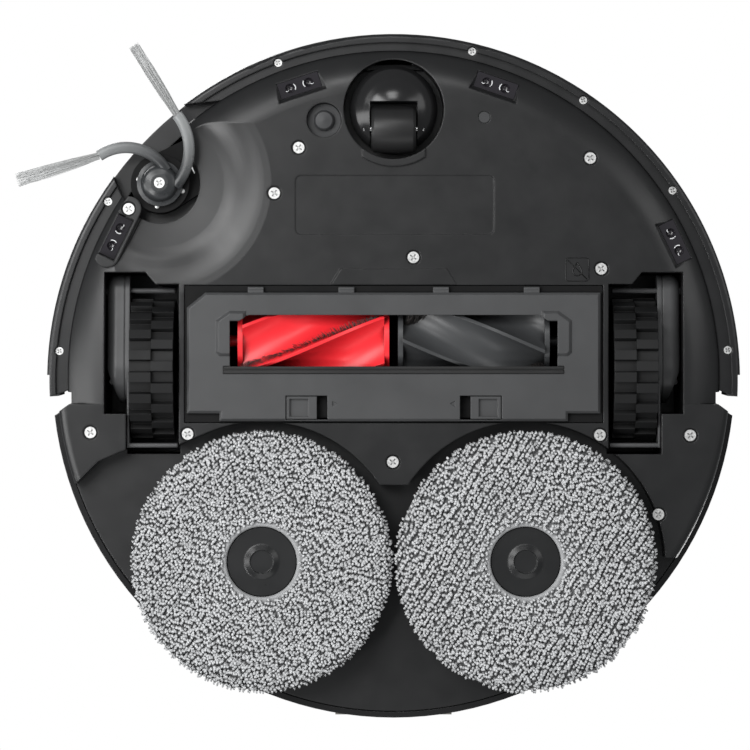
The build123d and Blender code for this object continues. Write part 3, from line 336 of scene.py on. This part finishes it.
def mop_cloth(side, centre, row_turn, groove, rows_together, seed):
    """A chenille ring: a felt backing with thousands of soft noodles standing in rows."""
    rng = random.Random(seed)
    pile = Strands(5)
    # the backing's shade is low, darkest under the noodles: painted shade under the pile
    profile = [
        (PAD_HOLE, 8.9, 0.4), (PAD_HOLE, 3.2, 0.30), (PAD_HOLE + 0.7, 2.2, 0.40), (PAD_HOLE + 1.7, 2.1, 0.42),
        (PAD_HOLE + 3.4, 3.4, 0.3), (40.0, 3.5, 0.05), (60.0, 3.6, 0.05), (63.6, 4.4, 0.05), (65.0, 6.2, 0.1),
        (64.6, 8.0, 0.1), (62.0, 8.9, 0.1),
    ]  # fmt: skip
    revolved(pile.points, pile.faces, pile.shades, profile, centre, 120)
    along = Vector((math.cos(row_turn), math.sin(row_turn), 0))
    across = Vector((-along.y, along.x, 0))
    n = int(PAD_R / PITCH_ACROSS) + 3
    for i in range(-n, n + 1):
        for j in range(-n, n + 1):
            # rows wander a little, and close up in bunches of rows_together with a groove between
            wander = 0.7 * math.sin(i * 0.10 + seed) + 0.4 * math.sin(i * 0.29 + j * 0.2)
            u = i * PITCH_ALONG + rng.gauss(0, 0.26) + (0.75 if j % 2 else 0.0)
            v = j * PITCH_ACROSS + wander + rng.gauss(0, 0.13)
            v -= groove * math.sin(2 * math.pi * j / rows_together)
            spot = along * u + across * v
            r = spot.length
            if not PAD_HOLE + 1.9 < r < PAD_R - 1.0:
                continue
            outward = spot.normalized()
            rim = max(0.0, (r - 61.0) / 4.4)
            lie = row_turn - 0.45 + rng.gauss(0.35 * math.sin(v * 0.09 + seed), 0.32)
            lean = Vector((math.cos(lie), math.sin(lie), 0)) * rng.choice((-1, 1))
            lean = (lean * (1 - 0.75 * rim) + outward * 1.1 * rim) * rng.uniform(0.7, 1.15)
            root_z = 3.9 + 2.6 * rim
            top_z = rng.uniform(0.70, 1.05) + 1.5 * rim * rim
            tip_z = top_z + rng.uniform(0.1, 0.6) + 0.7 * rim
            where = [(0.0, root_z), (0.25, (root_z + top_z) * 0.45), (0.85, top_z), (1.5, tip_z)]
            if r + 1.5 * lean.length > PAD_R + 0.15:
                lean *= max(0.2, (PAD_R + 0.15 - r) / (1.5 * lean.length))
            root = Vector((centre[0], centre[1], 0)) + spot
            line = [at(root.x + lean.x * k, root.y + lean.y * k, z) for k, z in where]
            fat = rng.uniform(0.92, 1.12) * MM
            radii = [0.50 * fat, 0.70 * fat, 0.72 * fat, 0.44 * fat]
            light = rng.uniform(0.74, 1.0)
            # each noodle dark at its root and pale at its top: painted shade deep in the pile, scaled by a
            # random tone per noodle
            pile.add(line, radii, [0.05, 0.30 * light, 0.95 * light, 0.85 * light])
    cloth = pile.build(f"{side}_mop_cloth", MATERIALS["pad_cloth"])
    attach(cloth, f"{side}_mop")
    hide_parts(f"{side}_mop_pad")


mop_cloth("right", (-66.8, 93.8), math.radians(-50), 0.16, 2.5, 11)
mop_cloth("left", (66.8, 93.8), math.radians(-60), 0.52, 3.4, 23)


# ---- side brush bristles ------------------------------------------------------------------------------
HUB = Vector((-118.7, -98.1, 0))
BUNDLE_HAIRS = 130
# end of each moulded arm and of its bristles from the hub, and the bundle's half width at its tip
BUNDLES = [((9.0, -34.5, 4.3), (-13.0, -69.6, 2.0), 2.7), ((-30.5, -13.6, 4.3), (-72.1, -1.0, 2.0), 3.6)]
# a thick pale strand by a side arm's edge, standing for a highlight there: painted highlight
ARM_EDGE_GLINT = [(15.2, -11.2, 6.6), (16.4, -8.0, 6.4), (17.8, -4.9, 6.8)]


def side_bristles():
    rng = random.Random(5)
    tuft = Strands(4)
    for start, end, end_width in BUNDLES:
        start, end = Vector(start), Vector(end)
        run = (end - start).normalized()
        side = Vector((0, 0, 1)).cross(run).normalized()
        for _ in range(BUNDLE_HAIRS):
            across, up = rng.uniform(-1, 1), rng.uniform(-1, 1)
            length = rng.uniform(0.95, 1.0)
            bend = rng.gauss(0, 0.35)
            line = []
            for k in (0.0, 0.3, 0.65, 1.0):
                width = 1.8 + (end_width - 1.8) * k
                spot = start + run * ((end - start).length * k * length)
                spot += side * (across * width + bend * math.sin(math.pi * k))
                spot.z = start.z + (end.z - start.z) * k + up * (1.1 - 0.4 * k)
                line.append(at(*(spot + HUB)))
            light = rng.uniform(0.45, 1.0)
            radii = [0.15 * MM, 0.15 * MM, 0.14 * MM, 0.10 * MM]
            tuft.add(line, radii, [0.3 * light, 0.55 * light, 0.8 * light, light])
    # painted highlight on the arm's edge, drawn as one thick pale strand
    arm_edge_glint = [at(*(Vector(point) + HUB)) for point in ARM_EDGE_GLINT]
    tuft.add(arm_edge_glint, [0.5 * MM, 0.45 * MM, 0.3 * MM], [0.9, 1.0, 1.0])
    obj = tuft.build("side_brush_bristles", MATERIALS["bristle_grey"])
    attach(obj, "side_brush")
    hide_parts("side_brush_tufts")


side_bristles()


# ---- main brush bristles ------------------------------------------------------------------------------
ROLLER_Y, ROLLER_Z = -18.2, 24.5
ROLLER_START, ROLLER_RUN, ROLLER_TWIST = 4.7, 72.0, 88.0


def roller_bristles(side, sign, valleys):
    """Rows of dark bristles that follow the valleys between the fins."""
    rng = random.Random(31 + sign)
    rows = Strands(3)
    for valley in valleys:
        for i in range(58):
            t = (i + 1.5) / 60
            x = sign * (ROLLER_START + ROLLER_RUN * t)
            for _ in range(7):
                a = valley + sign * math.radians(ROLLER_TWIST) * t + rng.gauss(0, 0.035)
                lean = rng.uniform(0.06, 0.16)
                slide = rng.gauss(0, 0.4)
                drift = sign * rng.uniform(1.5, 4.0)
                line = []
                for r, k in ((12.6, 0.0), (16.2, 0.5), (19.6, 1.0)):
                    b = a + lean * k
                    y, z = ROLLER_Y + r * math.sin(b), ROLLER_Z + r * math.cos(b)
                    line.append(at(x + slide + drift * k, y, z))
                light = rng.uniform(0.3, 1.0)
                rows.add(line, [0.16 * MM, 0.14 * MM, 0.10 * MM], [0.1 * light, 0.5 * light, light])
    obj = rows.build(f"{side}_roller_bristles", MATERIALS["roller_bristle"])
    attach(obj, f"{side}_brush")


FIN = 2 * math.pi / 5  # from one fin of a roller to the next
roller_bristles("right", -1, [FIN * 0.5, FIN * 3.0])
roller_bristles("left", 1, [FIN * 0.5, FIN * 3.0])


# ---- small parts --------------------------------------------------------------------------------------
# centre of each drop sensor and its turn in degrees
CLIFF_SENSORS = [(-47.9, -148.0, -18.0), (52.0, -148.0, 19.0), (143.0, -68.4, 64.5), (-141.1, -71.0, -64.0)]
# small screws from the side brush's centre
COLLAR_SCREWS = [(-10.9, -2.1), (11.4, 3.9), (-1.5, 11.6)]


def arc(centre, radius, first, last, z, steps=10):
    """Points along a level arc, in millimetres, between two angles in degrees."""
    angles = [math.radians(first + (last - first) * i / steps) for i in range(steps + 1)]
    return [Vector((centre[0] + radius * math.cos(a), centre[1] + radius * math.sin(a), z)) for a in angles]


def sensor_painted_glints():
    """Painted glints: bright arcs standing for highlights on the drop sensors' lens domes, inside their
    recesses.
    """
    glints = Strands(6)
    for x, y, turn in CLIFF_SENSORS:
        place = Matrix.Translation((x, y, 0)) @ Matrix.Rotation(math.radians(turn), 4, "Z")
        strokes = []
        for side in (-1, 1):
            facing = 180 if side > 0 else 0
            strokes.append((arc((side * 4.4, 0), 2.3, facing - 42, facing + 42, 13.0), 0.30, 1.0))
            strokes.append((arc((side * 6.6, 0.3), 0.9, 40, 150, 13.1, 5), 0.24, 0.8))
        for points, thick, shade in strokes:
            line = [at(*(place @ point)) for point in points]
            glints.add(line, [thick * MM] * len(line), [shade] * len(line))
    obj = glints.build("cliff_sensor_lenses", MATERIALS["lens_glint"])
    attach(obj, "chassis")


def collar_screws():
    """Small round screw heads under the side brush's collar."""
    heads = Strands(20)
    for x, y in COLLAR_SCREWS:
        crown = [(12.9, 1.25), (12.3, 1.25), (12.0, 0.9), (11.95, 0.1)]
        line = [at(HUB.x + x, HUB.y + y, z) for z, _ in crown]
        heads.add(line, [r * MM for _, r in crown], [1.0] * len(line))
    obj = heads.build("collar_screws", MATERIALS["screw_steel"])
    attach(obj, "side_arm")


def handling_mark():
    """A generic moulded pictogram: a crossed-out drop in a rounded square."""
    x, y, z, half, corner = 93.2, -54.3, 9.98, 5.9, 1.6
    strokes = Strands(6)
    frame_line = []
    for i, (sx, sy) in enumerate(((1, 1), (-1, 1), (-1, -1), (1, -1))):
        centre = (x + sx * (half - corner), y + sy * (half - corner))
        frame_line += arc(centre, corner, 90 * i, 90 * i + 90, z, 5)
    frame_line.append(frame_line[0])
    drop = arc((x, y + 0.8), 2.3, -25, 205, z, 14)
    drop = [Vector((x, y - 3.6, z))] + drop + [Vector((x, y - 3.6, z))]
    cross = [Vector((x - 4.9, y - 4.9, z)), Vector((x + 4.9, y + 4.9, z))]
    for points, thick in ((frame_line, 0.26), (drop, 0.34), (cross, 0.26)):
        strokes.add([at(*point) for point in points], [thick * MM] * len(points), [1.0] * len(points))
    obj = strokes.build("handling_mark", MATERIALS["mark_black"])
    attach(obj, "chassis")


sensor_painted_glints()
collar_screws()
handling_mark()


# ---- lights, background and camera --------------------------------------------------------------------
LIGHT_TARGET = (0.0, 0.0, 0.03)
CAMERA_LENS = 209.0
CAMERA_SPOT = (AXIS_X - 0.00947, -0.00077, -2.2)


def world_light():
    world = bpy.data.worlds.new("studio")
    bpy.context.scene.world = world
    world.use_nodes = True
    tree = world.node_tree
    tree.nodes.clear()
    out = tree.nodes.new("ShaderNodeOutputWorld")
    seen = tree.nodes.new("ShaderNodeBackground")
    seen.inputs["Color"].default_value = (1.0, 1.0, 1.0, 1.0)
    seen.inputs["Strength"].default_value = 1.0
    lit = tree.nodes.new("ShaderNodeBackground")
    lit.inputs["Color"].default_value = (0.96, 0.98, 1.0, 1.0)
    lit.inputs["Strength"].default_value = 0.22
    path = tree.nodes.new("ShaderNodeLightPath")
    mix = tree.nodes.new("ShaderNodeMixShader")
    tree.links.new(path.outputs["Is Camera Ray"], mix.inputs[0])
    tree.links.new(lit.outputs[0], mix.inputs[1])
    tree.links.new(seen.outputs[0], mix.inputs[2])
    tree.links.new(mix.outputs[0], out.inputs[0])


def softbox(name, where, size, power):
    data = bpy.data.lights.new(name, "AREA")
    data.shape = "RECTANGLE"
    data.size, data.size_y = size
    data.energy = power
    obj = bpy.data.objects.new(name, data)
    bpy.context.scene.collection.objects.link(obj)
    obj.location = where
    aim = Vector(LIGHT_TARGET) - Vector(where)
    obj.rotation_euler = aim.to_track_quat("-Z", "Y").to_euler()


world_light()
softbox("key_below_left", (-0.66, -0.48, -1.20), (0.50, 0.95), 11.5)
softbox("edge_left", (-1.25, 0.15, -0.75), (0.5, 1.3), 9.0)
softbox("fill_below_right", (1.0, -0.45, -0.95), (0.6, 0.9), 2.8)
softbox("low_rear", (0.1, 1.1, -0.8), (1.2, 0.4), 1.8)
softbox("dish_spot", (-0.72, 0.48, -1.25), (0.22, 0.22), 4.0)
softbox("dome_spot", (-0.05, -0.80, -1.15), (0.40, 0.20), 2.0)
softbox("key_above", (-0.8, -0.9, 1.3), (0.9, 0.9), 22.0)
softbox("rim_above", (0.9, 0.9, 1.1), (0.9, 0.7), 14.0)

camera_data = bpy.data.cameras.new("camera")
camera_data.sensor_width = 36.0
camera_data.lens = CAMERA_LENS
camera_data.clip_end = 20.0
camera = bpy.data.objects.new("camera", camera_data)
bpy.context.scene.collection.objects.link(camera)
camera.location = CAMERA_SPOT
camera.rotation_euler = (math.pi, 0.0, 0.0)
bpy.context.scene.camera = camera

scene = bpy.context.scene
scene.view_settings.view_transform = "Standard"
scene.view_settings.look = "None"
scene.view_settings.exposure = 0.0
scene.render.film_transparent = False
